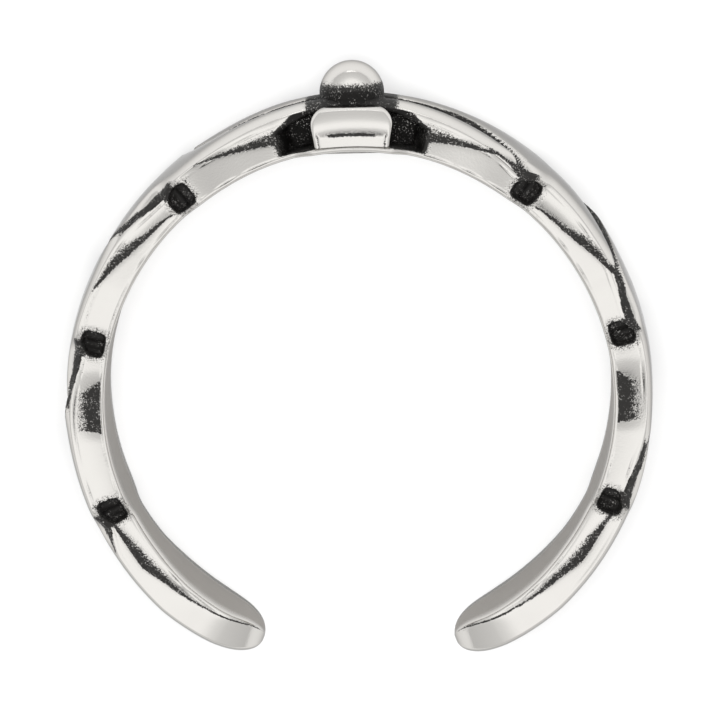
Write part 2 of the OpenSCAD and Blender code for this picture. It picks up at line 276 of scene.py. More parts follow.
def hollow_place(a):
    """Place on the way over a hollow: 0 at the petal, 1 at the first lobe."""
    return np.clip((a - PETAL_HALF) / (HOLLOW_END - PETAL_HALF), 0, 1)


def edge_z(a):
    """Half the band's width at the edge's outer border."""
    rise = (along_lobe(a) - by_lobe(a, RISE_FROM)) / (by_lobe(a, RISE_TO) - by_lobe(a, RISE_FROM))
    low = 1 - smooth(rise)
    across = np.abs(notch_place(a)) < 1
    low = np.where(across, smooth((notch_place(a) + 1) / 2), low)
    lobe = full_z(a) - LOBE_SAG * low
    collar = COLLAR_D / 2
    beside_petal = collar + (full_z(a) - LOBE_SAG - collar) * smooth(hollow_place(a))
    return np.where(a < HOLLOW_END, beside_petal, lobe)


def crown_r(a):
    """Radius of the outer side's highest line."""
    return HOLE_R + WALL * share(a, SECTION_WALL) + TOP_EXTRA * (1 - smooth(a / NOTCH_FIRST))


def groove_phase(a):
    """Place on the groove's way from one notch to the next, from 0 to 1."""
    x = (a - NOTCH_FIRST) / NOTCH_PITCH
    beside = NOTCH_HALF / NOTCH_PITCH
    first = np.clip((a - PETAL_HALF) / (NOTCH_FIRST - NOTCH_HALF - PETAL_HALF), 0, 1)
    later = np.clip((x - np.floor(x) - beside) / (1 - 2 * beside), 0, 1)
    later = np.where(a > LAST_NOTCH, 0, later)
    return np.where(a < NOTCH_FIRST - NOTCH_HALF, first, later)


def groove_place(a, sign):
    """Place of the groove between the strands, as a share of the half width."""
    first = GROOVE_START + (sign - GROOVE_START) * groove_phase(a) ** GROOVE_TURN
    later = -sign * np.cos(np.pi * smooth(groove_phase(a)))
    return np.where(a < NOTCH_FIRST - NOTCH_HALF, first, later)


def groove_fade(a):
    """Share of the groove that is left inside a notch and beyond an arm's last one."""
    inside = np.abs(notch_place(a)) ** 4
    arm = 1 - smooth((a - LAST_NOTCH) / ARM_RUN)
    return np.where(np.abs(notch_place(a)) < 1, inside, arm)


def groove_half(a, sign):
    """Half the groove's width across the band, wider where it runs steeply and at the eye."""
    step = 0.3
    middle = np.sin(np.pi * groove_phase(a))
    ahead = groove_place(a + step, sign) - groove_place(a - step, sign)
    slope = np.where(np.abs(notch_place(a)) < 1, 0, ahead * edge_z(a) / (2 * step) * DEG_PER_MM)
    return (GROOVE_W + EYE_EXTRA * middle ** EYE_POWER) / 2 * np.sqrt(1 + slope ** 2)


def from_groove(a, z, sign, border):
    """Distance from the groove's line at z across the band, in half widths of the groove."""
    return np.abs(z - groove_place(a, sign) * border) / groove_half(a, sign)


def groove_profile(a, z, sign, border):
    """1 on the groove's line and 0 at its borders."""
    x = np.minimum(1, from_groove(a, z, sign, border))
    return np.cos(np.pi / 2 * x) ** GROOVE_POWER * groove_fade(a)


def dip_share(a, face, sign):
    """1 where an outer border lies lowest, beside a notch that the groove runs to."""
    away = np.abs(a - nearest_notch(a)) - NOTCH_HALF
    run = np.where(a > LAST_NOTCH, ARM_RUN, DIP_RUN)
    beside = np.clip(groove_place(a, sign) * face, 0, 1) * np.minimum(1, np.abs(notch_place(a)))
    return (1 - smooth(away / run)) * beside


def joined(a, face, sign):
    """1 on the half of a notch where the groove meets it, 0 away from there."""
    x = notch_place(a)
    return smooth(JOIN_START - sign * face * x) * smooth((JOIN_REACH - np.abs(x)) / JOIN_SOFT)


def groove_stain(a, z, sign, border):
    """The groove's blackening, narrower where the groove runs along a border."""
    dip = dip_share(a, np.sign(z), sign)
    over = from_groove(a, z, sign, border) - GROOVE_REACH + REACH_LESS * dip
    return (1 - smooth(over / (GROOVE_FADE - FADE_LESS * dip))) * groove_fade(a)


def dome(a, z, sign, border):
    """How far the strand's dome has fallen at z, between the border and the groove."""
    line = groove_place(a, sign) * border
    high = np.where(z > line, border, line)
    low = np.where(z > line, line, -border)
    width = np.maximum(LEAST_WIDTH, high - low)
    x = np.minimum(1, np.abs(2 * z - high - low) / width)
    return STRAND_DOME * (1 - (1 - x * x) * np.minimum(1, width / DOME_WIDTH))


def under(a, z, sign, border):
    """How far the strand that ends at the next notch passes under the other one."""
    beyond = sign * (z - groove_place(a, sign) * border) / groove_half(a, sign)
    return STRAND_STEP * smooth(groove_phase(a)) * smooth(0.5 + 0.5 * beyond)


def outer_r(a, z, sign, border):
    """Radius of the outer side at z across the band, whose border there is given."""
    shoulder = share(a, SECTION_SHOULDER)
    inside = border - np.abs(z)
    x = SHOULDER_START + (1 - SHOULDER_START) * inside / (shoulder * SHOULDER_RUN)
    fall = shoulder * (1 - quarter(x))
    away = smooth(inside / GROOVE_W)
    dip = DIP_DEPTH * dip_share(a, np.sign(z), sign) * (1 - away)
    cut = GROOVE_DEPTH * away * groove_profile(a, z, sign, border)
    fall = fall + dome(a, z, sign, border) + under(a, z, sign, border)
    return crown_r(a) - fall - np.maximum(dip, cut)


def from_pocket(a, d, top):
    """Place in a notch at height d above the hole: 0 in its middle, 1 at its outline."""
    far = top - NOTCH_BORDER
    middle = (NOTCH_RIM + far) / 2
    half = (far - NOTCH_RIM) / 2
    across = np.abs(notch_place(a)) ** POCKET_POWER + np.abs((d - middle) / half) ** POCKET_POWER
    return across ** (1 / POCKET_POWER)


# Half the width of the slit in a notch, in half widths of the notch, and the share of the
# notch's depth that only the slit has
SLIT_HALF = 0.13
SLIT_SHARE = 0.2


def slit(a):
    """The thin line down the middle of a notch, where its two slopes meet."""
    return np.exp(-(notch_place(a) / SLIT_HALF) ** 2)


def along_crease(a, column):
    along = along_lobe(a)
    return np.choose(lobe_index(a), [np.interp(along, line[0], line[column]) for line in CREASES])


def from_crease(a, d):
    """How far d lies from the crease, on the way to the roll."""
    return by_lobe(a, ROLL_SIDE) * (d - WALL * along_crease(a, 1))


def soft_turn(e, half):
    """0 below e = 0 and e above it, with a soft turn between."""
    return half * np.log1p(np.exp(np.clip(e / half, -TURN_LIMIT, TURN_LIMIT)))


def face_fall(a, d):
    """How far a lobe's face has fallen back at height d: a flat panel, a crease, a roll."""
    e = from_crease(a, d)
    panel, roll, turn = (by_lobe(a, column) for column in (PANEL_SLOPE, ROLL_SLOPE, ROLL_TURN))
    straight = panel * e + (roll - panel) * soft_turn(e, CREASE_HALF)
    return straight + turn * np.maximum(e, 0) ** 2 / 2


# Shares of the height at which a column of a face is looked up for its highest place
FACE_SAMPLES = np.linspace(0.05, 0.95, 19)


def face_floor(a, d, top):
    """The fall of the face, measured from the highest place of its own column."""
    highest = np.min([face_fall(a, t * top) for t in FACE_SAMPLES], axis=0)
    return face_fall(a, d) - highest


def streak(a, d):
    """The painted dark reflection of the lens beside a crease: 1 on the crease, fading out over the
    roll.
    """
    e = from_crease(a, d)
    width = along_crease(a, 2)
    sharp = smooth((e + STREAK_START) / STREAK_START) * smooth(width / STREAK_LEAST)
    return sharp * np.clip(STREAK_FULL - STREAK_FADE * e / np.maximum(width, 0.001), 0, 1)


def fine_line(distance):
    return np.exp(-(distance / LINE_HALF) ** 2)


# Share of a notch's half width that its walls take, and softness of the hollows' overhang
NOTCH_WALL = 0.24
STRAND_SOFT = 0.1
# Distance from a notch's middle at which a face has its full relief, in its half widths
RELIEF_START = 1.4
# Where the groove's blackening comes over the border: the dip at which it does and over
# which it grows, the same for its coming further down, how far it then comes, and where it
# ends there and where the groove meets a notch, in lengths of BORDER_SOFT
MOUTH_DIP = (0.55, 0.2)
MOUTH_DEEP_DIP = (0.8, 0.15)
MOUTH_REACH = 0.05
MOUTH_END = 0.7
JOIN_END = 1.2
# The two waves round the ring by which the fine lines are worn, in radians per degree
WORN_WAVES = (0.5, 0.23)


def arm_line(a):
    """1 where a face has a fine line beside its outer border, 0 on the plain end of an arm."""
    return 1 - smooth((a - LAST_NOTCH - NOTCH_PITCH / 4) / (NOTCH_PITCH / 3))


def worn(a, sign):
    """How much of the fine lines is left, in uneven lengths round the ring."""
    return 0.5 + 0.5 * np.sin(WORN_WAVES[0] * a + sign + 2 * np.sin(WORN_WAVES[1] * a))


def in_rim(d):
    """1 on the rim at the hole, 0 above it."""
    return 1 - smooth((d - NOTCH_RIM) / BORDER_SOFT)


def strand_d(a):
    """Height above the hole at which the strand overhangs a hollow."""
    return HOLLOW_H + HOLLOW_RISE * (1 - hollow_place(a))


def side_height(a, top, step):
    """Height above the hole of a step up the side face, counted from knot to knot."""
    knots = [np.zeros_like(a), np.full_like(a, RIM_R), np.full_like(a, NOTCH_RIM)]
    knots += [top - NOTCH_BORDER, top]
    i = min(int(step), len(knots) - 2)
    return knots[i] + (knots[i + 1] - knots[i]) * (step - i)


def notch_open(a, d, top):
    """1 on the floor of a notch and 0 outside it."""
    return np.where(a < HOLLOW_END, 0, smooth((1 - from_pocket(a, d, top)) / NOTCH_WALL))


def side_z(a, d, top, sign):
    """Place of the side face across the band at height d above the hole."""
    in_hollow = a < HOLLOW_END
    over = smooth(hollow_place(a))
    base = edge_z(a) + np.where(in_hollow, (full_z(a) - edge_z(a)) * in_rim(d) * (1 - over), 0)
    below = (1 - smooth((d - strand_d(a)) / STRAND_SOFT)) * (1 - in_rim(d))
    wall = 1 - smooth((a - HOLLOW_END) / HOLLOW_WALL + 1)
    undercut = np.where(in_hollow, (base - HOLLOW_WEB) * below * wall, 0)
    opened = notch_open(a, d, top)
    cut = NOTCH_DEPTH * opened * (1 - SLIT_SHARE + SLIT_SHARE * slit(a))
    lines = fine_line(d - NOTCH_RIM) + arm_line(a) * fine_line(d - top + NOTCH_BORDER)
    lines = LINE_DEPTH * lines * worn(a, sign) * (1 - opened)
    relief = face_floor(a, d, top) + lines
    relief = relief * np.where(in_hollow, over * (1 - in_rim(d)), 1)
    relief = relief * smooth(np.abs(notch_place(a)) / RELIEF_START)
    return base - undercut - cut - relief - RIM_R * (1 - quarter(d / RIM_R))


def faded(darkening, away):
    strength, reach, soft = darkening
    return strength * smooth((reach - away) / soft)


def notch_stain(a, d, top):
    outward = from_pocket(a, d, top)
    darkening = np.maximum(faded(NOTCH_STAIN, outward), faded(NOTCH_SPECKS, outward))
    return np.where(a < HOLLOW_END, 0, darkening + SLIT_STAIN * slit(a) * notch_open(a, d, top))


def border_stain(a, d, top, sign, face):
    """The part of the groove's blackening that comes over the border onto the side face."""
    dip = dip_share(a, face, sign)
    mouth, deeper = (smooth((dip - low) / run) for low, run in (MOUTH_DIP, MOUTH_DEEP_DIP))
    mouth = mouth * smooth((d - top + MOUTH_REACH * deeper) / BORDER_SOFT + MOUTH_END)
    far = smooth((d - top + NOTCH_BORDER) / BORDER_SOFT + JOIN_END)
    return np.maximum(mouth, joined(a, face, sign) * far)


def hollow_stain(a, d):
    rise = SHADE_RISE * (1 - hollow_place(a)) ** 2 + SHADE_ABOVE
    shade = 1 - smooth((d - strand_d(a) - rise) / SHADE_SOFT)
    fade = smooth((a - HOLLOW_END + SHADE_END / 2) / SHADE_FADE)
    darkening = (1 - in_rim(d) ** 3) * shade * (1 - (1 - SHADE_LEFT) * fade)
    return np.where(a < HOLLOW_END + SHADE_END, darkening, 0)


def side_oxide_and_reflection(a, d, top, sign, face):
    """Blackening of the side face at height d above the hole: oxide in its recesses and fine lines,
    and a painted dark reflection of the lens beside each crease.
    """
    inner = fine_line((d - NOTCH_RIM) / DOTS_WIDTH)
    outer = fine_line((d - top + NOTCH_BORDER) / DOTS_WIDTH)
    dots = DOTS_STAIN * worn(a, sign) * (inner + arm_line(a) * outer)
    return np.maximum.reduce([
        notch_stain(a, d, top), STREAK_REFLECTION * streak(a, d), DEEPEST * hollow_stain(a, d),
        border_stain(a, d, top, sign, face), dots,
    ])


def side_column(a, sign, face, step):
    """One line up the side face: its height above the hole, z, blackening and dullness."""
    top = outer_r(a, edge_z(a) * face, sign, edge_z(a)) - HOLE_R
    d = side_height(a, top, step)
    darkening = side_oxide_and_reflection(a, d, top, sign, face)
    return d, face * side_z(a, d, top, sign), darkening, np.zeros_like(a)


# Steps up a side face, where 1 is the rim's rounding, 2 the rim, 3 the far border and 4
# the top, and the numbers of steps across the outer side and across the hole's wall
SIDE_STEPS = np.concatenate([
    np.linspace(0, 1, 4)[:-1], np.linspace(1, 2, 2)[:-1],
    2 + np.array([0, 0.02, 0.045, 0.07]), np.linspace(2.1, 2.9, 14),
    2 + np.array([0.93, 0.955, 0.98]), np.linspace(3, 4, 5),
])
OUTER_STEPS = 44
INNER_STEPS = 5
# Share of the outer side's steps that crowds towards the borders
CROWDING = 0.4
# Angles between the rows round the ring: the usual one and the one at a hollow's wall, and
# where the rows at a notch's sides lie, in its half widths
ROW_STEP = 0.42
WALL_STEP = 0.06
NOTCH_ROWS = np.array([-1.0, -0.97, -0.93, 0.93, 0.97, 1.0])
END_ROWS = 26


def end_scale(a, run, power):
    """Share of a section's size that is left where the band rounds off to its end."""
    x = np.clip((a - END_ANGLE + run) / run, 0, 1)
    return np.maximum(END_FLAT, (1 - x ** power) ** (1 / power))


def row_angles():
    half = [np.arange(0, END_ANGLE - ROUND_ANGLE, ROW_STEP)]
    for i in range(NOTCHES):
        half.append(NOTCH_FIRST + i * NOTCH_PITCH + NOTCH_HALF * NOTCH_ROWS)
    half.append(HOLLOW_END + np.array([-WALL_STEP, WALL_STEP]))
    t = np.linspace(0, 1, END_ROWS)
    half.append(END_ANGLE - ROUND_ANGLE * (1 - np.sin(t * math.pi / 2)))
    rows = np.unique(np.round(np.concatenate(half), 3))
    return np.concatenate([-rows[:0:-1], rows])


# Blackening on the outer side: the strip beside a dipping border, with its strength, growth
# with the dip, place, widening and softness, and the end of the dark round the bead, in
# degrees inside the petal's side, with its softness
FLANK_STAIN = 0.8
FLANK_GROWTH = 5
FLANK_IN = 0.05
FLANK_WIDER = 0.1
FLANK_SOFT = 0.08
COLLAR_STAIN_IN = 1
COLLAR_STAIN_SOFT = 3


def outer_stain(a, z, sign, border):
    inside = border - np.abs(z)
    face = np.sign(z)
    dip = dip_share(a, face, sign)
    flank = 1 - smooth((inside - FLANK_IN - FLANK_WIDER * dip) / FLANK_SOFT)
    flank = FLANK_STAIN * smooth(FLANK_GROWTH * dip) * smooth(inside / FLANK_IN) * flank
    beside_notch = joined(a, face, sign) * smooth((JOIN_WIDTH - inside) / JOIN_EDGE)
    collar = 1 - smooth((a - PETAL_HALF + COLLAR_STAIN_IN) / COLLAR_STAIN_SOFT)
    return np.maximum.reduce([groove_stain(a, z, sign, border), flank, beside_notch, collar])


def outer_column(a, sign, k, near_border, far_border):
    """One line round the outer side: its height above the hole, z, blackening and dullness."""
    t = 1 - 2 * k / OUTER_STEPS
    border = near_border if t > 0 else far_border
    z = border * ((1 - CROWDING) * t + CROWDING * math.sin(math.pi / 2 * t))
    border = np.abs(border)
    d = outer_r(a, z, sign, border) - HOLE_R
    return d, z, outer_stain(a, z, sign, border), np.zeros_like(a)


def band_mesh():
    rows = row_angles()
    a = np.abs(rows)
    sign = np.where(rows < 0, -1.0, 1.0)
    none = np.zeros_like(a)
    columns = [side_column(a, sign, 1, step) for step in SIDE_STEPS]
    far_side = [side_column(a, sign, -1, step) for step in SIDE_STEPS[::-1]]
    borders = columns[-1][1], -far_side[0][1]
    columns += [outer_column(a, sign, k, *borders) for k in range(1, OUTER_STEPS)]
    columns += far_side
    near, far = columns[0][1], columns[-1][1]
    for k in range(1, INNER_STEPS):
        columns.append((none, far + (near - far) * k / INNER_STEPS, none, none + 1))
    d, z, dark, matte = (np.stack([c[i] for c in columns], axis=1) for i in range(4))
    middle = (WALL * share(a, SECTION_WALL) / 2)[:, None]
    r = HOLE_R + middle + (d - middle) * end_scale(a, ROUND_ANGLE, END_POWER)[:, None]
    z = z * end_scale(a, TIP_ANGLE, TIP_POWER)[:, None]
    angle = np.radians(turned(rows))[:, None]
    points = np.stack([r * np.sin(angle), r * np.cos(angle), z], axis=2)
    return points, dark, matte


def add_object(name, data):
    thing = bpy.data.objects.new(name, data)
    bpy.context.scene.collection.objects.link(thing)
    return thing


def add_grid(name, points, values):
    """A mesh from rows of points, each row a closed loop, with its named values as attributes."""
    rows, count = points.shape[:2]
    here = np.arange(rows - 1)[:, None] * count + np.arange(count)[None, :]
    beside = np.arange(rows - 1)[:, None] * count + (np.arange(count)[None, :] + 1) % count
    quads = np.stack([here, here + count, beside + count, beside], axis=2)
    quads = quads.reshape(-1, 4).tolist()
    quads.append(list(range(count)))
    quads.append(list(range(rows * count - 1, (rows - 1) * count - 1, -1)))
    mesh = bpy.data.meshes.new(name)
    mesh.from_pydata((points.reshape(-1, 3) * MM).tolist(), [], quads)
    for key, value in values.items():
        attribute = mesh.attributes.new(key, "FLOAT", "POINT")
        attribute.data.foreach_set("value", value.reshape(-1).astype(np.float32))
    mesh.validate()
    mesh.polygons.foreach_set("use_smooth", [True] * len(mesh.polygons))
    mesh.update()
    return add_object(name, mesh)


def make_band():
    points, dark, matte = band_mesh()
    return add_grid("band", points, {"dark": dark, "matte": matte})


# The petal's face is a roll above a crease at this height, and a flat panel below it
PETAL_CREASE = 0.5
PETAL_PANEL = -0.16
PETAL_ROLL = 0.12
PETAL_TURN = 1.3
PETAL_SOFT = 0.022
PETAL_STEPS = 64
PETAL_CROWDING = 1.7
PETAL_BACK = 0.4
BACK_POINTS = 4
# Rounding of the foot's corners, as width and height, and of the top edge, as depth and
# height, and how far the face falls back towards its sides
FOOT_CORNER = (0.05, 0.06)
TOP_EDGE = (0.25, 0.12)
PETAL_CROWN = 0.06
# The frame line round the lower part of the face: how far inside the outline it runs, where
# it ends and over what height it fades
FRAME_IN = 0.17
FRAME_TOP = 0.62
FRAME_FADE = 0.1
# Blackening of the frame line, with how much wider it is than the line, where it ends and
# its fading height, and the painted dark reflection of the lens along the crease, with its
# place above it, half height, the share of the width it takes and the length of its ends
FRAME_STAIN = 0.66
FRAME_WIDER = 1.6
FRAME_STAIN_TOP = 0.7
FRAME_STAIN_FADE = 0.2
CREASE_REFLECTION = 0.9
CREASE_UP = 0.03
CREASE_HEIGHT = 0.07
CREASE_WIDTH = 0.74
CREASE_END = 0.3
# The petal's sides are blackened behind this place across the band, over this distance
SIDE_STAIN_Z = 1.0
SIDE_STAIN_SOFT = 0.2


def petal_levels():
    """Heights of the petal's rows, closer together at its foot, crease and top."""
    rim = [0.0, 0.015, 0.035, 0.06]
    foot = np.concatenate([rim, np.linspace(0.08, 0.16, 6), np.linspace(0.2, 0.4, 7)])
    crease = PETAL_CREASE + np.linspace(-0.08, 0.1, 15)
    top = PETAL_H - (PETAL_H - 0.64) * np.cos(np.linspace(0, math.pi / 2, 26))
    return np.concatenate([foot, crease, top])


def petal_width(v):
    """Half a petal's width at height v above the hole, with its corners rounded."""
    top = PETAL_R * (1 - quarter((PETAL_H - v) / PETAL_R))
    foot = FOOT_CORNER[0] * (1 - quarter(v / FOOT_CORNER[1]))
    return PETAL_W / 2 - top - foot


def petal_z(x, v, width):
    """Place of a petal's face across the band."""
    e = v - PETAL_CREASE
    fall = PETAL_PANEL * e + (PETAL_ROLL - PETAL_PANEL) * soft_turn(e, PETAL_SOFT)
    fall = fall + PETAL_TURN * max(e, 0) ** 2 / 2
    inside = width - np.abs(x)
    side = PETAL_EDGE * (1 - quarter(inside / PETAL_EDGE)) + PETAL_CROWN * np.abs(x / width) ** 3
    frame = LINE_DEPTH * fine_line(inside - FRAME_IN) * smooth((FRAME_TOP - v) / FRAME_FADE)
    foot = LINE_DEPTH * fine_line(v - RIM_R) + RIM_R * (1 - quarter(v / RIM_R))
    top = TOP_EDGE[0] * (1 - quarter((PETAL_H - v) / TOP_EDGE[1]))
    return full_z(0.0) - fall - side - frame - foot - top


def petal_oxide_and_reflection(x, v, z):
    """Blackening of a petal: a painted dark reflection of the lens along its crease, and blackening
    on its frame line and on its sides behind the face.
    """
    width = np.abs(x).max(axis=1, keepdims=True)
    inside = width - np.abs(x)
    crease = np.exp(-((v - PETAL_CREASE - CREASE_UP) / CREASE_HEIGHT) ** 2)
    crease = crease * smooth((CREASE_WIDTH * width - np.abs(x)) / CREASE_END)
    frame = fine_line((inside - FRAME_IN) / FRAME_WIDER)
    frame = frame * smooth((FRAME_STAIN_TOP - v) / FRAME_STAIN_FADE)
    sides = np.clip((SIDE_STAIN_Z - z) / SIDE_STAIN_SOFT, 0, 1)
    return np.maximum.reduce([sides, CREASE_REFLECTION * crease, FRAME_STAIN * frame])


def make_petal(name, face):
    rows = []
    k = np.linspace(-1, 1, PETAL_STEPS)
    spread = np.sign(k) * (1 - (1 - np.abs(k)) ** PETAL_CROWDING)
    for v in petal_levels():
        width = petal_width(v)
        front = petal_z(width * spread, v, width)
        rows.append((np.concatenate([width * spread, np.linspace(width, -width, BACK_POINTS)]),
                     np.full(PETAL_STEPS + BACK_POINTS, v),
                     np.concatenate([front, np.full(BACK_POINTS, PETAL_BACK)])))
    x, v, z = (np.stack([row[i] for row in rows]) for i in range(3))
    r = HOLE_R + v
    angle = x / MID_R
    points = np.stack([r * np.sin(angle), r * np.cos(angle), face * z], axis=2)
    dark = petal_oxide_and_reflection(x, v, z)
    if face > 0:
        points, dark = points[:, ::-1], dark[:, ::-1]
    return add_grid(name, points, {"dark": dark, "matte": np.zeros_like(dark)})


# The bead: the collar's rounding, as depth and height, the shares of the way from there to
# the ball's middle and the number of steps over the ball, the number of its sides, the size
# of its closing face, and the height above the hole where its blackening ends
COLLAR_R = (0.02, 0.06)
NECK_STEPS = np.linspace(0.3, 0.95, 5)
BALL_STEPS = 44
BEAD_SIDES = 128
POLE_GAP = 0.02
BEAD_STAIN = 1.84
BEAD_STAIN_SOFT = 0.3


def make_bead():
    ball = BEAD_D / 2
    centre = HOLE_R + BEAD_TOP - ball
    collar = COLLAR_D / 2
    top = HOLE_R + PETAL_H
    profile = [(collar, HOLE_R + WALL / 2), (collar, top - COLLAR_R[1])]
    profile += [(collar - COLLAR_R[0], top)]
    profile += [(ball, top + (centre - top) * t) for t in NECK_STEPS]
    rise = np.linspace(0, math.pi / 2 - POLE_GAP, BALL_STEPS)
    profile += [(ball * math.cos(t), centre + ball * math.sin(t)) for t in rise]
    turns = np.linspace(0, 2 * math.pi, BEAD_SIDES, endpoint=False)
    rings = [[(r * math.cos(t), y, r * math.sin(t)) for t in turns] for r, y in profile]
    points = np.array(rings)
    height = points[:, :, 1] - HOLE_R
    dark = np.clip((BEAD_STAIN - height) / BEAD_STAIN_SOFT + 0.5, 0, DEEPEST)
    return add_grid("bead", points, {"dark": dark, "matte": np.zeros_like(dark)})


class Graph:
    """Adds nodes to a node tree. What is fed to a node is a value or another node's output."""

    def __init__(self, tree):
        self.nodes, self.links = tree.nodes, tree.links

    def feed(self, socket, value):
        if isinstance(value, bpy.types.NodeSocket):
            self.links.new(value, socket)
        else:
            socket.default_value = value

    def node(self, kind, *first, **settings):
        """A new node with these settings, its first inputs fed in their order."""
        node = self.nodes.new("ShaderNode" + kind)
        for key, value in settings.items():
            setattr(node, key, value)
        for socket, value in zip(node.inputs, first):
            self.feed(socket, value)
        return node

    def feed_named(self, node, **values):
        for name, value in values.items():
            self.feed(node.inputs[name.replace("_", " ")], value)

    def math(self, operation, *values, clamp=False):
        return self.node("Math", *values, operation=operation, use_clamp=clamp).outputs[0]

    def vector(self, operation, *values):
        return self.node("VectorMath", *values, operation=operation).outputs

    def noise(self, place, scale, detail, roughness):
        node = self.node("TexNoise", place)
        self.feed_named(node, Scale=scale, Detail=detail, Roughness=roughness)
        return node.outputs["Fac"]

    def ramp(self, value, low, high, low_out=0.0, high_out=1.0):
        node = self.node("MapRange", value, interpolation_type="SMOOTHSTEP")
        self.feed_named(node, From_Min=low, From_Max=high, To_Min=low_out, To_Max=high_out)
        return node.outputs["Result"]

    def blend(self, factor, first, second):
        node = self.node("Mix", data_type="RGBA")
        self.feed_named(node, Factor=factor, A=first, B=second)
        return node.outputs["Result"]

    def attribute(self, name):
        return self.node("Attribute", attribute_name=name).outputs["Fac"]


BRIGHT_SILVER = (0.60, 0.585, 0.56, 1)
DULL_SILVER = (0.43, 0.41, 0.385, 1)
BLACK = (0.020, 0.019, 0.018, 1)
DEEP_BLACK = (0.006, 0.0055, 0.005, 1)
SPECULAR_TINT = (0.45, 0.45, 0.45, 1)
BLACK_METALLIC = 0.3
# Noise: its scale for places in mm, its detail and its roughness
RAGGED_COARSE = (12, 3, 0.6)
RAGGED_FINE = (32, 2, 0.6)
SPECKS = (20, 3, 0.6)
SPECK_PATCHES = (3.4, 2, 0.5)
WEAR = (1.4, 3, 0.5)
GRAIN = (18, 3, 0.6)
SWELL = (4, 2, 0.5)
# What the coarse and the fine noise add to the blackening, and the values between which it
# turns from bare to black, and from black to its deepest
COARSE_SHARE = 0.8
FINE_SHARE = 1.3
BLACK_EDGE = (0.42, 0.60)
DEEP_EDGE = (0.95, 1.2)
# Values of the noise between which specks of bare silver, their patches and wear begin
SPECK_EDGE = (0.56, 0.70)
PATCH_EDGE = (0.42, 0.60)
WEAR_EDGE = (0.3, 0.7)
SPECK_BARE = 0.8
# Roughness where the silver is least and most worn, and what dullness and black add to it
WEAR_ROUGHNESS = (0.08, 0.13)
DULL_ROUGHNESS = 0.3
BLACK_ROUGHNESS = 0.4
# Depth of the grain, its strength on bare silver and what blackening adds to that
GRAIN_DEPTH = 0.02 * MM
GRAIN_BARE = 0.08
GRAIN_BLACK = 0.9
SWELL_SHARE = 0.5


def silver_material():
    material = bpy.data.materials.new("antiqued_silver")
    material.use_nodes = True
    graph = Graph(material.node_tree)
    shader = graph.nodes["Principled BSDF"]
    scaled = graph.node("VectorMath", graph.node("TexCoord").outputs["Object"], operation="SCALE")
    graph.feed_named(scaled, Scale=1 / MM)
    place = scaled.outputs[0]

    def ragged(noise, amount):
        return graph.math("MULTIPLY", graph.math("SUBTRACT", graph.noise(place, *noise), 0.5), amount)

    # The dark attribute holds oxide in the recesses, and painted dark reflections of the lens beside
    # the lobes' creases and along the petals' crease
    dark, matte = graph.attribute("dark"), graph.attribute("matte")
    edge = graph.math("ADD", ragged(RAGGED_COARSE, COARSE_SHARE), ragged(RAGGED_FINE, FINE_SHARE))
    black = graph.ramp(graph.math("ADD", dark, edge), *BLACK_EDGE)
    specks = graph.ramp(graph.noise(place, *SPECKS), *SPECK_EDGE)
    patches = graph.ramp(graph.noise(place, *SPECK_PATCHES), *PATCH_EDGE)
    bare = graph.math("MULTIPLY", graph.math("MULTIPLY", specks, patches), SPECK_BARE)
    oxide_and_painted_reflection = graph.math("SUBTRACT", black, bare, clamp=True)

    metal = graph.blend(matte, BRIGHT_SILVER, DULL_SILVER)
    deep = graph.blend(graph.ramp(dark, *DEEP_EDGE), BLACK, DEEP_BLACK)
    worn_edge = graph.ramp(graph.noise(place, *WEAR), *WEAR_EDGE, *WEAR_ROUGHNESS)
    gloss = graph.math("ADD", worn_edge, graph.math("MULTIPLY", matte, DULL_ROUGHNESS))
    dull = graph.math("ADD", gloss, graph.math("MULTIPLY", oxide_and_painted_reflection, BLACK_ROUGHNESS))

    swell = graph.math("MULTIPLY", graph.noise(place, *SWELL), SWELL_SHARE)
    grain = graph.math("ADD", graph.noise(place, *GRAIN), swell)
    strength = graph.math("ADD", GRAIN_BARE, graph.math("MULTIPLY", dark, GRAIN_BLACK))
    bump = graph.node("Bump")
    graph.feed_named(bump, Distance=GRAIN_DEPTH, Strength=strength, Height=grain)
    graph.feed_named(
        shader, Base_Color=graph.blend(oxide_and_painted_reflection, metal, deep), Specular_Tint=SPECULAR_TINT,
        Metallic=graph.ramp(oxide_and_painted_reflection, 0, 1, 1.0, BLACK_METALLIC), Roughness=dull,
        Normal=bump.outputs["Normal"],
    )
    return material


# The pale floor is lit from below a little, as a table of milky glass is
FLOOR_GREY = (0.6, 0.6, 0.6, 1)
FLOOR_ROUGHNESS = 0.8
FLOOR_GLOW = 0.34
FLOOR_HALF = 600 * MM
WHITE = (1, 1, 1, 1)


def floor_material():
    material = bpy.data.materials.new("pale_floor")
    material.use_nodes = True
    graph = Graph(material.node_tree)
    graph.feed_named(
        graph.nodes["Principled BSDF"], Base_Color=FLOOR_GREY, Roughness=FLOOR_ROUGHNESS,
        Emission_Color=WHITE, Emission_Strength=FLOOR_GLOW,
    )
    return material


def make_floor(z):
    mesh = bpy.data.meshes.new("floor")
    corners = [(-1, -1), (1, -1), (1, 1), (-1, 1)]
    mesh.from_pydata([(FLOOR_HALF * x, FLOOR_HALF * y, z) for x, y in corners], [], [(0, 1, 2, 3)])
    mesh.materials.append(floor_material())
    add_object("floor", mesh)


CAMERA_DISTANCE = 150 * MM
CAMERA_TILT = math.radians(11.5)
CAMERA_SIDE = math.radians(1.2)
CAMERA_ROLL = math.radians(1.5)
CAMERA_AIM = Vector((0.03 * MM, 0.98 * MM, 0))
PIXELS_PER_MM = 33.68
IMAGE_SIDE = 720
SENSOR_WIDTH = 36
CLIP_START = 10 * MM


def image_up():
    return Vector((math.sin(CAMERA_ROLL), math.cos(CAMERA_ROLL), 0))


def camera_direction():
    level = Vector((math.cos(CAMERA_ROLL), -math.sin(CAMERA_ROLL), 0))
    front = math.cos(CAMERA_SIDE)
    return (math.sin(CAMERA_SIDE) * level + front * math.sin(CAMERA_TILT) * image_up()
            + Vector((0, 0, front * math.cos(CAMERA_TILT))))


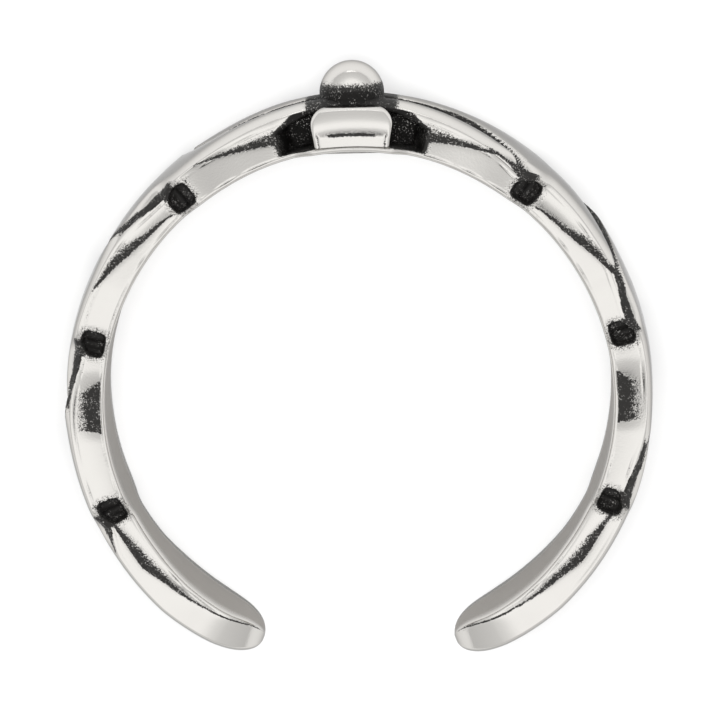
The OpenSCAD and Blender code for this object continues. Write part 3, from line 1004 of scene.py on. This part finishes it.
def make_camera():
    camera = bpy.data.cameras.new("camera")
    camera.sensor_width = SENSOR_WIDTH
    camera.lens = PIXELS_PER_MM * (CAMERA_DISTANCE / MM) / IMAGE_SIDE * SENSOR_WIDTH
    camera.clip_start = CLIP_START
    view = add_object("camera", camera)
    back = camera_direction()
    right = image_up().cross(back).normalized()
    view.location = CAMERA_AIM + CAMERA_DISTANCE * back
    view.rotation_euler = Matrix((right, back.cross(right), back)).transposed().to_euler()
    bpy.context.scene.camera = view


# Brightness of the white tent round the ring, by degrees from the dark lens opening, and
# the brightness that stands for 1 in its curve
TENT = [
    (0, 0.03), (4, 0.05), (8, 0.42), (13, 0.80), (20, 1.0), (30, 1.45), (38, 1.45),
    (54, 1.05), (80, 0.84), (130, 0.74), (180, 0.8),
]
TENT_FULL = 2
# A brighter panel overhead, wider than it is deep: the direction of its middle, the degrees
# from there at which it ends and is full, what it adds, and its narrowing in each direction
PANEL_PLACE = (0, 0.989, -0.149)
PANEL_EDGE = (12, 8)
PANEL_LIGHT = 3.2
PANEL_SQUEEZE = (0.4, 1, 1)
SOFTBOX_SIZE = 30 * MM
SOFTBOX_ENERGY = 0.02
SOFTBOX_PLACE = (0, 12 * MM, 60 * MM)


def make_light():
    world = bpy.data.worlds.new("studio")
    bpy.context.scene.world = world
    world.use_nodes = True
    graph = Graph(world.node_tree)
    around = graph.node("TexCoord").outputs["Generated"]

    facing = graph.vector("DOT_PRODUCT", around, camera_direction())["Value"]
    half_turns = graph.math("DIVIDE", graph.math("ARCCOSINE", facing), math.pi)
    tent = graph.node("FloatCurve")
    curve = tent.mapping.curves[0]
    while len(curve.points) < len(TENT):
        curve.points.new(0.5, 0.5)
    for point, (degrees, strength) in zip(curve.points, TENT):
        point.location = (degrees / 180, strength / TENT_FULL)
    tent.mapping.update()
    graph.feed_named(tent, Value=half_turns)

    narrowed = graph.vector("NORMALIZE", graph.vector("MULTIPLY", around, PANEL_SQUEEZE)[0])[0]
    overhead = graph.vector("DOT_PRODUCT", narrowed, PANEL_PLACE)["Value"]
    edge = [math.cos(math.radians(angle)) for angle in PANEL_EDGE]
    panel = graph.ramp(overhead, *edge, 0.0, PANEL_LIGHT)
    total = graph.math("ADD", graph.math("MULTIPLY", tent.outputs[0], TENT_FULL), panel)
    graph.feed_named(graph.nodes["Background"], Color=WHITE, Strength=total)

    lamp = bpy.data.lights.new("softbox", "AREA")
    lamp.size = SOFTBOX_SIZE
    lamp.energy = SOFTBOX_ENERGY
    softbox = add_object("softbox", lamp)
    softbox.location = SOFTBOX_PLACE
    softbox.visible_glossy = False
    bpy.context.scene.view_settings.view_transform = "Standard"


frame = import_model()
cad_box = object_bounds()

silver = silver_material()
pieces = [make_band(), make_petal("near_petal", 1), make_petal("far_petal", -1), make_bead()]
for piece in pieces:
    piece.data.materials.append(silver)
    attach(piece, "root")
    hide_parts("ring")

make_floor(cad_box[0][2])
make_camera()
make_light()
